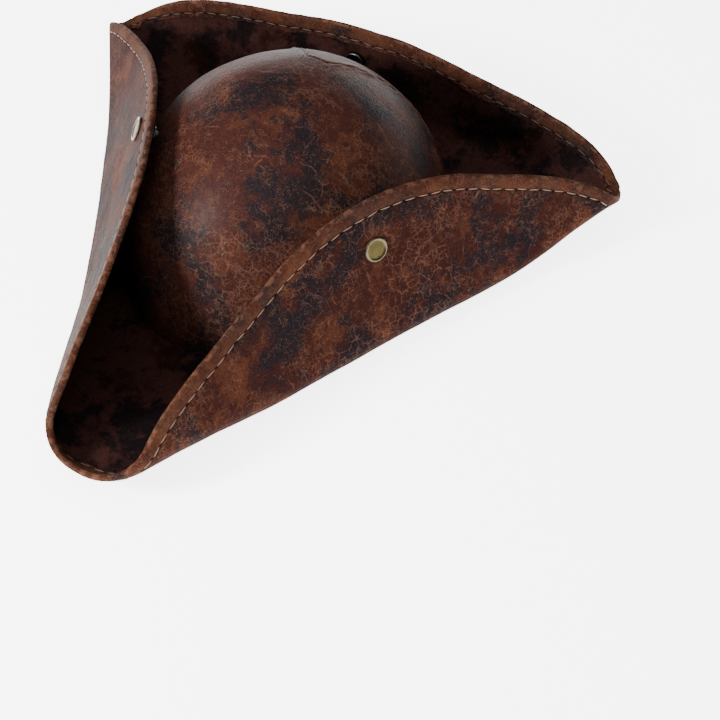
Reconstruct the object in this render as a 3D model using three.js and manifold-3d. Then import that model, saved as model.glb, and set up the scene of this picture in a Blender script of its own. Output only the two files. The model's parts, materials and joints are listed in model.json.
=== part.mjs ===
// Three-cornered costume hat: a domed crown on a wired brim that is folded up into three flaps.
// Millimetres, +Z up. The wearer faces -Y, the wearer's left is +X. z = 0 is the underside of the brim.
import * as THREE from 'three';
import { mergeVertices } from 'three/addons/utils/BufferGeometryUtils.js';
import Module from 'manifold-3d';

const wasm = await Module();
wasm.setup();

// ---------------------------------------------------------------- driving dimensions
const FRONT_TIP = 210;          // centre to the front point
const BACK_TIP_X = 161;         // centre plane to each back point
const BACK_TIP_Y = 100;
const TIP_LIFT = 20;            // how far the three points stand above the flat of the brim
const LIFT_FROM = 112;          // radius where the brim starts to rise towards the points
const LIFT_TO = 185;
const FOLD_RADIUS = 11;         // bend of the brim at the middle and back of each flap
const NOSE_RADIUS = 18.5;       // bend of the brim at the front point
const NOSE_REACH = 130;         // distance over which the nose bend dies away
const HALF_STACK = 1.4;         // half the thickness of the brim's three layers
const LEATHER = 0.8;            // one layer of faux leather
const STIFFENER = 0.6;
const GAP = 0.3;                // clearance between neighbouring solids
const MID_Z = 1.4;              // height of the brim's middle layer at the flat

const CROWN_A = 90;             // half width of the crown at its base
const CROWN_B = 106;            // half length
const CROWN_Y = 3.5;            // the crown sits slightly behind the centre
const CROWN_H = 109;
const CROWN_FOOT = 4.3;         // height of the crown's lower edge
const LINING = 0.5;
const LINING_GAP = 1.8;         // the lining hangs a little inside the crown
const SWEATBAND = 1.0;
const SWEATBAND_H = 28;
const SWEATBAND_GAP = 1.9;        // the sweatband stands free of the lining
const OPENING_INSET = 4.5;      // the brim's inner edge, inside the crown's outer face

const HEM = 10;                 // width of the leather turned over the rim
const RIM_TURN = 3.2;           // where the inner layers stop short of the rim
const HEM_STITCH = 8;           // stitch line, measured from the rim
const WIRE_RADIUS = 0.75;
const CAP_RADIUS = 7.0;         // snap cap
const POST_RADIUS = 2.0;
const HOLE_RADIUS = 2.3;
const RIVET_RADIUS = 3;         // head of a stud inside the crown
const HINGE_Z = MID_Z + TIP_LIFT + 3;
const MIN_FLAP = 9;             // a flap begins where it stands this far above the hinge line

// One entry per flap: ends of the fold, depth, how the depth runs out to each end, bend angle,
// how far the fold bows outwards, hinge position outwards of the fold, and the joint's limits.
const tip = (x, y) => new THREE.Vector2(x, y);
const FLAPS = {
  left: {
    from: tip(0, -FRONT_TIP), to: tip(BACK_TIP_X, BACK_TIP_Y), depth: 99, ends: [1.09, 0.94],
    bend: 110.5, bow: -5, hinge: 10, open: 75, close: 0, snap: { u: 0.073, fromRim: 27.5 },
  },
  right: {
    from: tip(0, -FRONT_TIP), to: tip(-BACK_TIP_X, BACK_TIP_Y), depth: 112, ends: [1.02, 1.03],
    bend: 114.5, bow: -5, hinge: 10, open: 75, close: 0, snap: { u: 0.086, fromRim: 21 },
  },
  back: {
    from: tip(-BACK_TIP_X, BACK_TIP_Y), to: tip(BACK_TIP_X, BACK_TIP_Y), depth: 60, ends: [0.77, 0.77],
    bend: 81, bow: 6, hinge: 17, open: 60, close: 22, snap: { u: -0.1, fromRim: 22 },
  },
};

const RAD = Math.PI / 180;
const smooth = (t) => {
  const c = Math.min(Math.max(t, 0), 1);
  return c * c * (3 - 2 * c);
};
const lift = (p) => TIP_LIFT * smooth((p.length() - LIFT_FROM) / (LIFT_TO - LIFT_FROM));
const v3 = (x, y, z) => new THREE.Vector3(x, y, z);

// ---------------------------------------------------------------- the folded brim
for (const flap of Object.values(FLAPS)) {
  flap.middle = flap.from.clone().add(flap.to).multiplyScalar(0.5);
  flap.half = flap.to.clone().sub(flap.from).multiplyScalar(0.5);
  const along = flap.half.clone().normalize();
  flap.out = new THREE.Vector2(along.y, -along.x);
  if (flap.out.dot(flap.middle) < 0) flap.out.negate();
}

// Depth of the flap, measured over the bend, at u = -1..1 along the fold.
function depthAt(flap, u) {
  const [a, b] = flap.ends;
  const peak = (a - b) / (a + b);
  return flap.depth * ((1 + u) / (1 + peak)) ** a * ((1 - u) / (1 - peak)) ** b;
}

function foldAt(flap, u) {
  const base = flap.middle.clone().addScaledVector(flap.half, u).addScaledVector(flap.out, flap.bow * (1 - u * u));
  const fromNose = base.distanceTo(FLAPS.left.from);
  const radius = FOLD_RADIUS + (NOSE_RADIUS - FOLD_RADIUS) * Math.exp(-((fromNose / NOSE_REACH) ** 2));
  return { base, radius, out: flap.out, bend: flap.bend * RAD };
}

// A point of the brim at distance d over the fold, and s above the middle layer, on the crown's side.
function brimPoint(fold, d, s = 0) {
  const { base, radius, out, bend } = fold;
  const angle = Math.min(Math.max(d, 0) / radius, bend);
  const rest = Math.max(d - radius * bend, 0);
  const reach = radius * Math.sin(angle) + rest * Math.cos(bend) - s * Math.sin(angle);
  const rise = radius * (1 - Math.cos(angle)) + rest * Math.sin(bend) + s * Math.cos(angle);
  return v3(base.x + out.x * reach, base.y + out.y * reach, MID_Z + lift(base) + rise);
}

// Distance over the fold at which the brim reaches height z.
function distanceAtHeight(fold, z) {
  const need = Math.max(z - MID_Z - lift(fold.base), 0);
  const { radius, bend } = fold;
  const arcRise = radius * (1 - Math.cos(bend));
  if (need <= arcRise) return radius * Math.acos(1 - need / radius);
  return radius * bend + (need - arcRise) / Math.sin(bend);
}

const reachOf = (fold, point) => fold.out.x * point.x + fold.out.y * point.y;

// How far the fixed wall stops below the hinge line, so that the flap's lower edge clears it.
function hingeSlot(flap, fold) {
  const d = distanceAtHeight(fold, HINGE_Z);
  const axis = fold.out.dot(flap.middle) + flap.hinge;
  const outside = reachOf(fold, brimPoint(fold, d, -HALF_STACK)) - axis;
  const inside = axis - reachOf(fold, brimPoint(fold, d, HALF_STACK));
  return 1.5 + Math.max(outside * Math.sin(flap.open * RAD), inside * Math.sin(flap.close * RAD), 0);
}

// The stretch of the fold over which the flap is a moving piece.
function flapRange(flap) {
  const stands = (u) => {
    const fold = foldAt(flap, u);
    return brimPoint(fold, depthAt(flap, u)).z > HINGE_Z + MIN_FLAP;
  };
  let first = -0.98;
  let last = 0.98;
  while (!stands(first)) first += 0.005;
  while (!stands(last)) last -= 0.005;
  return [first, last];
}

// ---------------------------------------------------------------- mesh helpers
const group = new THREE.Group();

function addMesh(name, geometry, material) {
  const mesh = new THREE.Mesh(geometry, material);
  mesh.name = name;
  group.add(mesh);
}

function volumeOf(positions, index) {
  let sum = 0;
  const [a, b, c] = [v3(), v3(), v3()];
  for (let i = 0; i < index.length; i += 3) {
    a.fromArray(positions, 3 * index[i]);
    b.fromArray(positions, 3 * index[i + 1]);
    c.fromArray(positions, 3 * index[i + 2]);
    sum += a.dot(b.cross(c));
  }
  return sum / 6;
}

function geometryFrom(points, triangles) {
  const positions = points.flatMap((p) => [p.x, p.y, p.z]);
  const index = triangles.flat();
  if (volumeOf(positions, index) < 0) {
    for (let i = 0; i < index.length; i += 3) [index[i], index[i + 1]] = [index[i + 1], index[i]];
  }
  const geometry = new THREE.BufferGeometry();
  geometry.setAttribute('position', new THREE.Float32BufferAttribute(positions, 3));
  geometry.setIndex(index);
  geometry.computeVertexNormals();
  return geometry;
}

// A solid whose cross sections are loops of equally many points. A ring has no ends. Other sweeps
// are capped with the triangles of flatLoop, the first loop drawn in its own plane. A point's order
// picks the diagonal of each facet, so neighbouring layers are faceted alike.
function sweep(loops, flatLoop = null) {
  const m = loops[0].length;
  const triangles = [];
  const last = flatLoop ? loops.length - 1 : loops.length;
  for (let i = 0; i < last; i += 1) {
    const next = (i + 1) % loops.length;
    for (let j = 0; j < m; j += 1) {
      const k = (j + 1) % m;
      const [a, b, c, d] = [i * m + j, i * m + k, next * m + k, next * m + j];
      if (loops[0][j].order > loops[0][k].order) triangles.push([a, b, d], [b, c, d]);
      else triangles.push([a, b, c], [a, c, d]);
    }
  }
  if (flatLoop) {
    const cap = THREE.ShapeUtils.triangulateShape(flatLoop, []);
    const turned = THREE.ShapeUtils.isClockWise(flatLoop);
    const end = (loops.length - 1) * m;
    for (const [a, b, c] of cap) {
      const [p, q] = turned ? [b, a] : [a, b];
      triangles.push([q, p, c], [end + p, end + q, end + c]);
    }
  }
  return geometryFrom(loops.flat(), triangles);
}

function toManifold(geometry) {
  const bare = geometry.clone();
  bare.deleteAttribute('normal');
  bare.deleteAttribute('uv');
  const merged = mergeVertices(bare, 1e-4);
  const vertProperties = new Float32Array(merged.attributes.position.array);
  const triVerts = new Uint32Array(merged.index.array);
  return new wasm.Manifold(new wasm.Mesh({ numProp: 3, vertProperties, triVerts }));
}

function fromManifold(solid) {
  const { vertProperties, triVerts } = solid.getMesh();
  const geometry = new THREE.BufferGeometry();
  geometry.setAttribute('position', new THREE.Float32BufferAttribute(vertProperties, 3));
  geometry.setIndex([...triVerts]);
  geometry.computeVertexNormals();
  return geometry;
}

const cut = (geometry, ...tools) => fromManifold(
  tools.reduce((solid, tool) => solid.subtract(toManifold(tool)), toManifold(geometry)),
);

// A turned piece: the profile is a closed outline of (radius, height) pairs, turned about axis
// through origin, and height runs along axis.
function turned(profile, origin, axis, sides) {
  const outline = [...profile, profile[0]].map(([r, h]) => new THREE.Vector2(r, h));
  const geometry = new THREE.LatheGeometry(outline, sides);
  const turn = new THREE.Quaternion().setFromUnitVectors(v3(0, 1, 0), axis.clone().normalize());
  geometry.applyQuaternion(turn);
  geometry.translate(origin.x, origin.y, origin.z);
  const bare = geometry.clone();
  bare.deleteAttribute('normal');
  bare.deleteAttribute('uv');
  return fromManifold(toManifold(mergeVertices(bare, 1e-4)));
}

// ---------------------------------------------------------------- materials
const finish = (color, roughness, metalness = 0) => new THREE.MeshStandardMaterial({ color, roughness, metalness });
const outerLeather = () => finish(0x5a2c1c, 0.45);
const innerLeather = () => finish(0x2a1712, 0.5);
const thread = () => finish(0xa9825a, 0.8);
const antiqueBrass = () => finish(0x8f8455, 0.35, 1);
const nickel = () => finish(0xb9b9b4, 0.3, 1);
const stiffening = () => finish(0x1b1b1c, 0.95);
const steelWire = () => finish(0x8b8d90, 0.4, 1);
const cottonLining = () => finish(0x161616, 0.9);
const bandLeather = () => finish(0x241a15, 0.6);

// ---------------------------------------------------------------- snaps on the flaps
// Position of a flap's snap and the direction of its axis, which points at the crown.
function snapSeat(flap) {
  const fold = foldAt(flap, flap.snap.u);
  const d = depthAt(flap, flap.snap.u) - flap.snap.fromRim;
  const origin = brimPoint(fold, d);
  const axis = brimPoint(fold, d, 1).sub(origin);
  return { origin, axis };
}

const CAP_SEAT = HALF_STACK + GAP;
const capProfile = [
  [0, -CAP_SEAT - 1.2], [CAP_RADIUS - 2, -CAP_SEAT - 1.2], [CAP_RADIUS - 1.4, -CAP_SEAT - 1.6],
  [CAP_RADIUS - 0.7, -CAP_SEAT - 1.6], [CAP_RADIUS, -CAP_SEAT - 1], [CAP_RADIUS - 0.5, -CAP_SEAT],
  [POST_RADIUS, -CAP_SEAT], [POST_RADIUS, HALF_STACK], [0, HALF_STACK],
];
const socketProfile = [
  [0, CAP_SEAT], [6.2, CAP_SEAT], [6.2, CAP_SEAT + 1.4], [5.4, CAP_SEAT + 2.6], [4.6, CAP_SEAT + 2.6],
  [3.4, CAP_SEAT + 2.2], [3.2, CAP_SEAT + 0.8], [0, CAP_SEAT + 0.8],
];
const holeProfile = [[0, -6], [HOLE_RADIUS, -6], [HOLE_RADIUS, 6], [0, 6]];

function addFlapSnap(name, flap) {
  const { origin, axis } = snapSeat(flap);
  addMesh(`snap_cap_${name}`, turned(capProfile, origin, axis, 18), antiqueBrass());
  addMesh(`snap_socket_${name}`, turned(socketProfile, origin, axis, 16), nickel());
  return turned(holeProfile, origin, axis, 12);
}

// ---------------------------------------------------------------- the three flaps
const STATIONS = 19;
const ARC_STEPS = 3;

// Every layer of a flap shares these distances over the fold, so the layers stay parallel.
function layerGrid(start, rim) {
  const hem = Math.max(rim - HEM, start + 0.5);
  const steps = [0, 1 / 3, 2 / 3, 1].map((t) => start + (hem - start) * t);
  return [...steps, rim - HEM_STITCH, rim - RIM_TURN];
}

// Closed outlines of one flap layer, in (distance over the fold, height over the middle layer).
function outerOutline(start, rim) {
  const face = -HALF_STACK;
  const back = face + LEATHER;
  const turnFace = HALF_STACK + GAP + LEATHER;
  const turnBack = turnFace - LEATHER;
  const centre = (face + turnFace) / 2;
  const big = (turnFace - face) / 2;
  const small = (turnBack - back) / 2;
  const bow = (radius, from, to) => Array.from({ length: ARC_STEPS + 1 }, (_, i) => {
    const angle = from + (to - from) * (i / ARC_STEPS);
    return [rim - big + radius * Math.cos(angle), centre + radius * Math.sin(angle)];
  });
  const grid = layerGrid(start, rim);
  const hem = grid.slice(3).reverse();
  return [
    ...grid.map((d) => [d, face]), ...bow(big, -Math.PI / 2, Math.PI / 2), ...hem.map((d) => [d, turnFace]),
    ...hem.reverse().map((d) => [d, turnBack]), ...bow(small, Math.PI / 2, -Math.PI / 2),
    ...grid.reverse().map((d) => [d, back]),
  ];
}

function flatOutline(low, high) {
  return (start, rim) => {
    const grid = layerGrid(start, rim);
    return [...grid.map((d) => [d, low]), ...grid.reverse().map((d) => [d, high])];
  };
}

function wireOutline(start, rim) {
  const centre = (GAP + LEATHER) / 2;
  return Array.from({ length: 8 }, (_, i) => {
    const angle = (i / 8) * 2 * Math.PI;
    return [rim - 1.95 + WIRE_RADIUS * Math.cos(angle), centre + WIRE_RADIUS * Math.sin(angle)];
  });
}

function stitchOutline(start, rim) {
  const line = rim - HEM_STITCH;
  const low = -HALF_STACK - 2 * GAP;
  return [[line - 0.4, low], [line + 0.4, low], [line + 0.3, low - 0.5], [line - 0.3, low - 0.5]];
}

function flapLayer(flap, outline) {
  const [first, last] = flapRange(flap);
  const flat = [];
  const loops = [];
  for (let i = 0; i <= STATIONS; i += 1) {
    const u = first + (last - first) * (i / STATIONS);
    const fold = foldAt(flap, u);
    const start = distanceAtHeight(fold, HINGE_Z);
    const pairs = outline(start, depthAt(flap, u));
    loops.push(pairs.map(([d, s]) => Object.assign(brimPoint(fold, d, s), { order: d })));
    if (i === 0) flat.push(...pairs.map(([d, s]) => new THREE.Vector2(d, s)));
  }
  return sweep(loops, flat);
}

for (const [name, flap] of Object.entries(FLAPS)) {
  const hole = addFlapSnap(name, flap);
  const half = STIFFENER / 2;
  const layer = (outline) => cut(flapLayer(flap, outline), hole);
  addMesh(`flap_${name}_outer_leather`, layer(outerOutline), outerLeather());
  addMesh(`flap_${name}_inner_leather`, layer(flatOutline(HALF_STACK - LEATHER, HALF_STACK)), innerLeather());
  addMesh(`flap_${name}_stiffener`, layer(flatOutline(-half, half)), stiffening());
  addMesh(`brim_wire_${name}`, flapLayer(flap, wireOutline), steelWire());
  addMesh(`hem_stitch_${name}`, flapLayer(flap, stitchOutline), thread());
}

// ---------------------------------------------------------------- the fixed brim
const CROWN_CENTRE = new THREE.Vector2(0, CROWN_Y);

function ellipsePoint(direction, inset) {
  const [a, b] = [CROWN_A - inset, CROWN_B - inset];
  const reach = 1 / Math.hypot(Math.cos(direction) / a, Math.sin(direction) / b);
  return new THREE.Vector2(Math.cos(direction), Math.sin(direction)).multiplyScalar(reach).add(CROWN_CENTRE);
}

// Stations once round the brim, each with the length of wall that stays fixed.
function brimStations() {
  const stations = [];
  const steps = 12;
  const cornerReach = { front: 5, back: 3 };
  const corner = (point, reach) => {
    const out = point.clone().normalize();
    stations.push({ fold: { base: point, radius: NOSE_RADIUS, out, bend: Math.PI / 2 }, end: reach });
  };
  const side = (flap, from, to) => {
    const [first, last] = flapRange(flap);
    const uList = [];
    for (let i = 1; i < steps; i += 1) uList.push(-1 + (2 * i) / steps);
    const inside = uList.filter((u) => u > first + 0.03 && u < last - 0.03);
    const outside = uList.filter((u) => u < first - 0.05 || u > last + 0.05);
    const slit = 0.008;
    const step = 0.012;
    const all = [...inside, ...outside, first - slit, last + slit, first - slit - step, last + slit + step];
    all.sort((p, q) => p - q);
    if (from > to) all.reverse();
    for (const u of all) {
      const fold = foldAt(flap, u);
      const fixed = distanceAtHeight(fold, HINGE_Z - hingeSlot(flap, fold));
      const isFlap = u > first - slit - step / 2 && u < last + slit + step / 2;
      stations.push({ fold, end: isFlap ? fixed : depthAt(flap, u) });
    }
  };
  corner(FLAPS.left.from, cornerReach.front);
  side(FLAPS.left, -1, 1);
  corner(FLAPS.left.to, cornerReach.back);
  side(FLAPS.back, 1, -1);
  corner(FLAPS.right.to, cornerReach.back);
  side(FLAPS.right, 1, -1);
  return stations;
}

// Share of the way from the inner edge to the fold over which the brim lies flat.
function flatShare(inner, base) {
  const reach = (LIFT_FROM - inner.length()) / Math.max(base.length() - inner.length(), 0.1);
  return reach > 0.1 && reach < 0.5 ? reach : 1 / 3;
}

function brimRing(low, high) {
  const wallSteps = 3;
  const loops = brimStations().map(({ fold, end }) => {
    const toBase = fold.base.clone().sub(CROWN_CENTRE);
    const inner = ellipsePoint(Math.atan2(toBase.y, toBase.x), OPENING_INSET);
    const flat = flatShare(inner, fold.base);
    const path = (s) => {
      const points = [];
      for (const share of [0, flat, (1 + flat) / 2]) {
        const p = inner.clone().lerp(fold.base, share);
        points.push(v3(p.x, p.y, MID_Z + lift(p) + s));
      }
      for (let i = 0; i <= wallSteps; i += 1) points.push(brimPoint(fold, (end * i) / wallSteps, s));
      points.forEach((p, order) => Object.assign(p, { order }));
      return points;
    };
    return [...path(low), ...path(high).reverse()];
  });
  return sweep(loops);
}

addMesh('brim_outer_leather', brimRing(-HALF_STACK, -HALF_STACK + LEATHER), outerLeather());
addMesh('brim_stiffener', brimRing(-STIFFENER / 2, STIFFENER / 2), stiffening());
addMesh('brim_inner_leather', brimRing(HALF_STACK - LEATHER, HALF_STACK), innerLeather());

// ---------------------------------------------------------------- the crown
// theta runs round the crown from the wearer's left over the back; t = 0 at the foot and 1 at the top.
const CROWN_ROUND = 36;
const CROWN_PITCH = (2 * Math.PI) / CROWN_ROUND;
const roundness = (theta) => 2.05 - 0.25 * smooth(Math.sin(theta));

function crownPoint(theta, rise, inset) {
  const m = roundness(theta);
  const level = Math.min(Math.max(rise, 0), 1);
  const spread = (1 - level ** m) ** (1 / m);
  const [c, s] = [Math.cos(theta), Math.sin(theta)];
  const normal = v3(
    (c / CROWN_A) * spread ** (m - 1), (s / CROWN_B) * spread ** (m - 1), level ** (m - 1) / CROWN_H,
  ).normalize();
  return v3(CROWN_A * c * spread, CROWN_Y + CROWN_B * s * spread, level * CROWN_H).addScaledVector(normal, -inset);
}

// Even steps over the dome for a fraction t of the way from the foot to the top.
const riseAt = (t, foot) => Math.sin(Math.asin(foot) + (Math.PI / 2 - Math.asin(foot)) * t);
const FOOT = CROWN_FOOT / CROWN_H;

// Height of the seam, as a fraction of the crown: high round the back, falling past each side.
function seamRise(theta) {
  const fromBack = Math.abs(Math.atan2(Math.sin(theta - Math.PI / 2), Math.cos(theta - Math.PI / 2))) / RAD;
  return 0.9 - 0.46 * smooth((fromBack - 8) / 44) - 0.5 * smooth((fromBack - 48) / 84);
}
const SEAM_GAP = 0.016;

// A dome-shaped shell between two insets, open below the height that start(theta) gives.
function domeShell(outside, inside, start, round, levels) {
  const points = [];
  const triangles = [];
  const at = (layer, i, j) => layer * (round * levels + 1) + 1 + (i % round) * levels + j;
  for (const inset of [outside, inside]) {
    points.push(crownPoint(0, 1, inset));
    for (let i = 0; i < round; i += 1) {
      const theta = (i / round) * 2 * Math.PI;
      for (let j = 0; j < levels; j += 1) points.push(crownPoint(theta, riseAt(j / levels, start(theta)), inset));
    }
  }
  const pole = (layer) => layer * (round * levels + 1);
  for (let i = 0; i < round; i += 1) {
    for (const layer of [0, 1]) {
      const flip = (a, b, c) => triangles.push(layer ? [c, b, a] : [a, b, c]);
      for (let j = 0; j < levels - 1; j += 1) {
        flip(at(layer, i, j), at(layer, i + 1, j), at(layer, i + 1, j + 1));
        flip(at(layer, i, j), at(layer, i + 1, j + 1), at(layer, i, j + 1));
      }
      flip(at(layer, i, levels - 1), at(layer, i + 1, levels - 1), pole(layer));
    }
    triangles.push([at(1, i, 0), at(1, i + 1, 0), at(0, i + 1, 0)], [at(1, i, 0), at(0, i + 1, 0), at(0, i, 0)]);
  }
  return geometryFrom(points, triangles);
}

// The band below the seam, between the two places where the seam runs out at the foot.
function bandLoops(outside, inside, low, high, levels) {
  const [first, last] = seamEnds();
  const steps = Math.round((last - first) / CROWN_PITCH);
  const loops = [];
  for (let i = 0; i <= steps; i += 1) {
    const theta = first + (last - first) * (i / steps);
    const row = (inset) => Array.from({ length: levels + 1 }, (_, j) => {
      const rise = low(theta) + (high(theta) - low(theta)) * (j / levels);
      return crownPoint(theta, rise, inset);
    });
    loops.push([...row(outside), ...row(inside).reverse()]);
  }
  return loops;
}

function seamEnds() {
  let first = -8 * CROWN_PITCH;
  while (seamRise(first) < FOOT + 0.05) first += CROWN_PITCH;
  return [first, Math.PI - first];
}

function flatEnd(loop) {
  return loop.map((p) => new THREE.Vector2(Math.hypot(p.x, p.y), p.z));
}

// The stud half of a snap stands on the crown, on the axis of the socket when the flap is shut.
function studSeat(flap) {
  const { origin, axis } = snapSeat(flap);
  if (!flap.close) return { origin, axis };
  const along = v3(flap.half.x, flap.half.y, 0).normalize();
  const outward = v3(flap.out.x, flap.out.y, 0);
  const turn = Math.sign(along.clone().cross(v3(0, 0, 1)).dot(outward)) * -flap.close * RAD;
  const pivot = v3(flap.middle.x, flap.middle.y, HINGE_Z).addScaledVector(outward, flap.hinge);
  const rotate = (p) => p.clone().sub(pivot).applyAxisAngle(along, turn).add(pivot);
  return { origin: rotate(origin), axis: axis.clone().applyAxisAngle(along, turn) };
}

// Distance from the socket's middle layer to the crown's outer face, along the snap's axis.
function crownDistance({ origin, axis }) {
  const inside = (t) => {
    const p = origin.clone().addScaledVector(axis, t);
    const theta = Math.atan2((p.y - CROWN_Y) / CROWN_B, p.x / CROWN_A);
    const m = roundness(theta);
    return Math.hypot(p.x / CROWN_A, (p.y - CROWN_Y) / CROWN_B) ** m + (p.z / CROWN_H) ** m < 1;
  };
  let t = 0;
  while (!inside(t) && t < 60) t += 0.05;
  return t;
}

const studHoles = [];
for (const [name, flap] of Object.entries(FLAPS)) {
  const seat = studSeat(flap);
  const face = crownDistance(seat);
  const top = CAP_SEAT + 1.4;
  const flange = face - 1.4;
  const rivet = face + 2.4;
  const stud = [
    [0, top], [2.2, top], [2.7, top + 0.6], [2.7, top + 1.3], [2.1, top + 2], [2.1, flange - 0.8],
    [4.2, flange - 0.6], [4.2, flange], [POST_RADIUS, flange + 0.1], [POST_RADIUS, rivet],
    [RIVET_RADIUS, rivet + 0.1], [RIVET_RADIUS, rivet + 0.7], [0, rivet + 0.9],
  ];
  addMesh(`snap_stud_${name}`, turned(stud, seat.origin, seat.axis, 16), nickel());
  const hole = [
    [0, face - 5], [HOLE_RADIUS, face - 5], [HOLE_RADIUS, face + 1.7], [RIVET_RADIUS + GAP, face + 1.8],
    [RIVET_RADIUS + GAP, face + 8], [0, face + 8],
  ];
  studHoles.push(turned(hole, seat.origin, seat.axis, 12));
}

const panelStart = (theta) => Math.max(FOOT, seamRise(theta) + SEAM_GAP);
const bandEnd = (theta) => seamRise(theta) - SEAM_GAP;
addMesh('crown_front_panel', cut(domeShell(0, LEATHER, panelStart, CROWN_ROUND, 6), ...studHoles), outerLeather());

const band = bandLoops(0, LEATHER, () => FOOT, bandEnd, 5);
addMesh('crown_back_band', cut(sweep(band, flatEnd(band[0])), ...studHoles), outerLeather());

const weltLow = (theta) => seamRise(theta) - SEAM_GAP + 0.006;
const weltHigh = (theta) => seamRise(theta) + SEAM_GAP - 0.006;
const welt = bandLoops(-0.6, LEATHER, weltLow, weltHigh, 1);
addMesh('crown_seam_welt', sweep(welt, flatEnd(welt[0])), outerLeather());

const liningOutside = LEATHER + LINING_GAP;
const lining = domeShell(liningOutside, liningOutside + LINING, () => FOOT, CROWN_ROUND, 5);
addMesh('crown_lining', cut(lining, ...studHoles), cottonLining());

const bandOutside = liningOutside + LINING + SWEATBAND_GAP;
const sweatLoops = Array.from({ length: CROWN_ROUND }, (_, i) => {
  const theta = (i / CROWN_ROUND) * 2 * Math.PI;
  const levels = [0, 0.5, 1].map((t) => FOOT + (SWEATBAND_H / CROWN_H) * t);
  return [
    ...levels.map((rise) => crownPoint(theta, rise, bandOutside)),
    ...levels.reverse().map((rise) => crownPoint(theta, rise, bandOutside + SWEATBAND)),
  ];
});
addMesh('sweatband', cut(sweep(sweatLoops), ...studHoles), bandLeather());

// Centre the hat on its bounding box.
const box = new THREE.Box3().setFromObject(group);
group.position.set(-(box.min.x + box.max.x) / 2, -(box.min.y + box.max.y) / 2, -box.min.z);

export default group;
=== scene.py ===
"""Three-cornered hat in distressed faux leather: the looks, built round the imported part.

Lengths are metres in the part's own frame. The wearer faces -Y and the hat lies on z = 0.
"""

import json
import math
from collections import namedtuple

import bmesh
import bpy
from bpy.props import FloatProperty, FloatVectorProperty, IntProperty, PointerProperty
from mathutils import Matrix, Vector, noise


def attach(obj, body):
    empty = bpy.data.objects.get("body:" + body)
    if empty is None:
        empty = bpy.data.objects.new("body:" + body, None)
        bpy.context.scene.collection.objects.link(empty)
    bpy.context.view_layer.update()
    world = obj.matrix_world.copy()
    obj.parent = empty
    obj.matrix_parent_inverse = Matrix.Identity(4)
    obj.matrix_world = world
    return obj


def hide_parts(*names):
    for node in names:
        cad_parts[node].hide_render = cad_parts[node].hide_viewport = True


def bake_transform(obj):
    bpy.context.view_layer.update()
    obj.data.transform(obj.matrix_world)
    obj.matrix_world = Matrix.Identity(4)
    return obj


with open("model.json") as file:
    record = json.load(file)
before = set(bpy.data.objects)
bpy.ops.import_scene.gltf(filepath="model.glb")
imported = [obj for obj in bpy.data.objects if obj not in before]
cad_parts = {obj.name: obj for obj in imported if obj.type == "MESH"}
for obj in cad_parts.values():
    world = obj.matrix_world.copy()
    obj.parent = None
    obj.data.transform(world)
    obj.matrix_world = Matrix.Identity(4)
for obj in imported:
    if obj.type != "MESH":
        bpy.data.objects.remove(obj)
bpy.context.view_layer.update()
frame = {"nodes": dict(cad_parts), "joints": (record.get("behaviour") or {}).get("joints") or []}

bl_info = {
    "name": "Three-cornered leather hat",
    "version": (1, 0, 0),
    "blender": (4, 5, 0),
    "location": "View3D > Sidebar > Hat",
    "description": "Builds a distressed leather three-cornered hat on its packed frame",
    "category": "Add Mesh",
}

MM = 0.001

# ---------------------------------------------------------------- the brim's shape
# These sizes repeat the part's own source, so leather and collision solids agree.
TIP_LIFT = 20 * MM          # how far the three points stand above the flat of the brim
LIFT_FROM = 112 * MM        # radius where the brim starts to rise towards the points
LIFT_TO = 185 * MM
FOLD_RADIUS = 11 * MM       # bend of the brim along each fold
NOSE_RADIUS = 18.5 * MM     # bend of the brim at the front point
NOSE_REACH = 130 * MM       # distance over which the wider bend dies away
MID_Z = 1.4 * MM            # height of the brim's middle layer at the flat
HINGE_OUT = 10 * MM         # how far outside its fold a side flap's hinge lies
CROWN_A = 90 * MM           # half width of the crown at its base
CROWN_B = 106 * MM          # half length
CROWN_Y = 3.5 * MM          # the crown sits slightly behind the centre
CROWN_H = 109 * MM
OPENING_INSET = 4.5 * MM    # the brim's inner edge, inside the crown's outer face
SNAP_SEAT = 1.7 * MM        # from the brim's middle layer to the face under a snap

# The leather's own shape near the points, which the solids only approximate.
NOSE_DROP = 0.5             # share of the lift that the front trough loses
NOSE_DROP_FROM = 60 * MM
NOSE_DROP_OVER = 130 * MM
COMPENSATE_OVER = 45 * MM   # distance from a point over which the flap makes up for the drop
LINE_STEPS = 900            # steps along a line of stitches

# A point of the brim: its place, the radius that rounds it in plan, the height of leather that stands there,
# and the distance along the fold over which that height dies away.
Tip = namedtuple("Tip", "point rounding curl blend")

# A cross-section of the brim: base and radius of its bend, outward direction, angle of the bend, depth of
# the flap, and the point where the section starts at the head opening.
Fold = namedtuple("Fold", "base radius out bend depth inner")

FRONT = Tip(Vector((0, -210)) * MM, 15 * MM, 16 * MM, 60 * MM)
BACK_LEFT = Tip(Vector((161, 100)) * MM, 2 * MM, 2.6 * MM, 24 * MM)
BACK_RIGHT = Tip(Vector((-161, 100)) * MM, 2 * MM, 2.6 * MM, 24 * MM)


def smooth(t):
    """An even step from 0 to 1."""
    c = min(max(t, 0.0), 1.0)
    return c * c * (3 - 2 * c)


def part_shift():
    """How far the part's source moved its plan to centre the box, from the two side hinges."""
    pivots = {joint["name"]: joint["pos_m"] for joint in frame["joints"]}
    left, right = pivots["flap_left"], pivots["flap_right"]
    side = FLAPS["left"]
    pivot = side.middle + side.out * HINGE_OUT
    return Vector(((left[0] + right[0]) / 2, (left[1] + right[1]) / 2 - pivot.y, 0))


def cad_lift(p):
    """Height of the brim's floor over the flat at plan point p, as the solids have it."""
    return TIP_LIFT * smooth((p.length - LIFT_FROM) / (LIFT_TO - LIFT_FROM))


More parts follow.
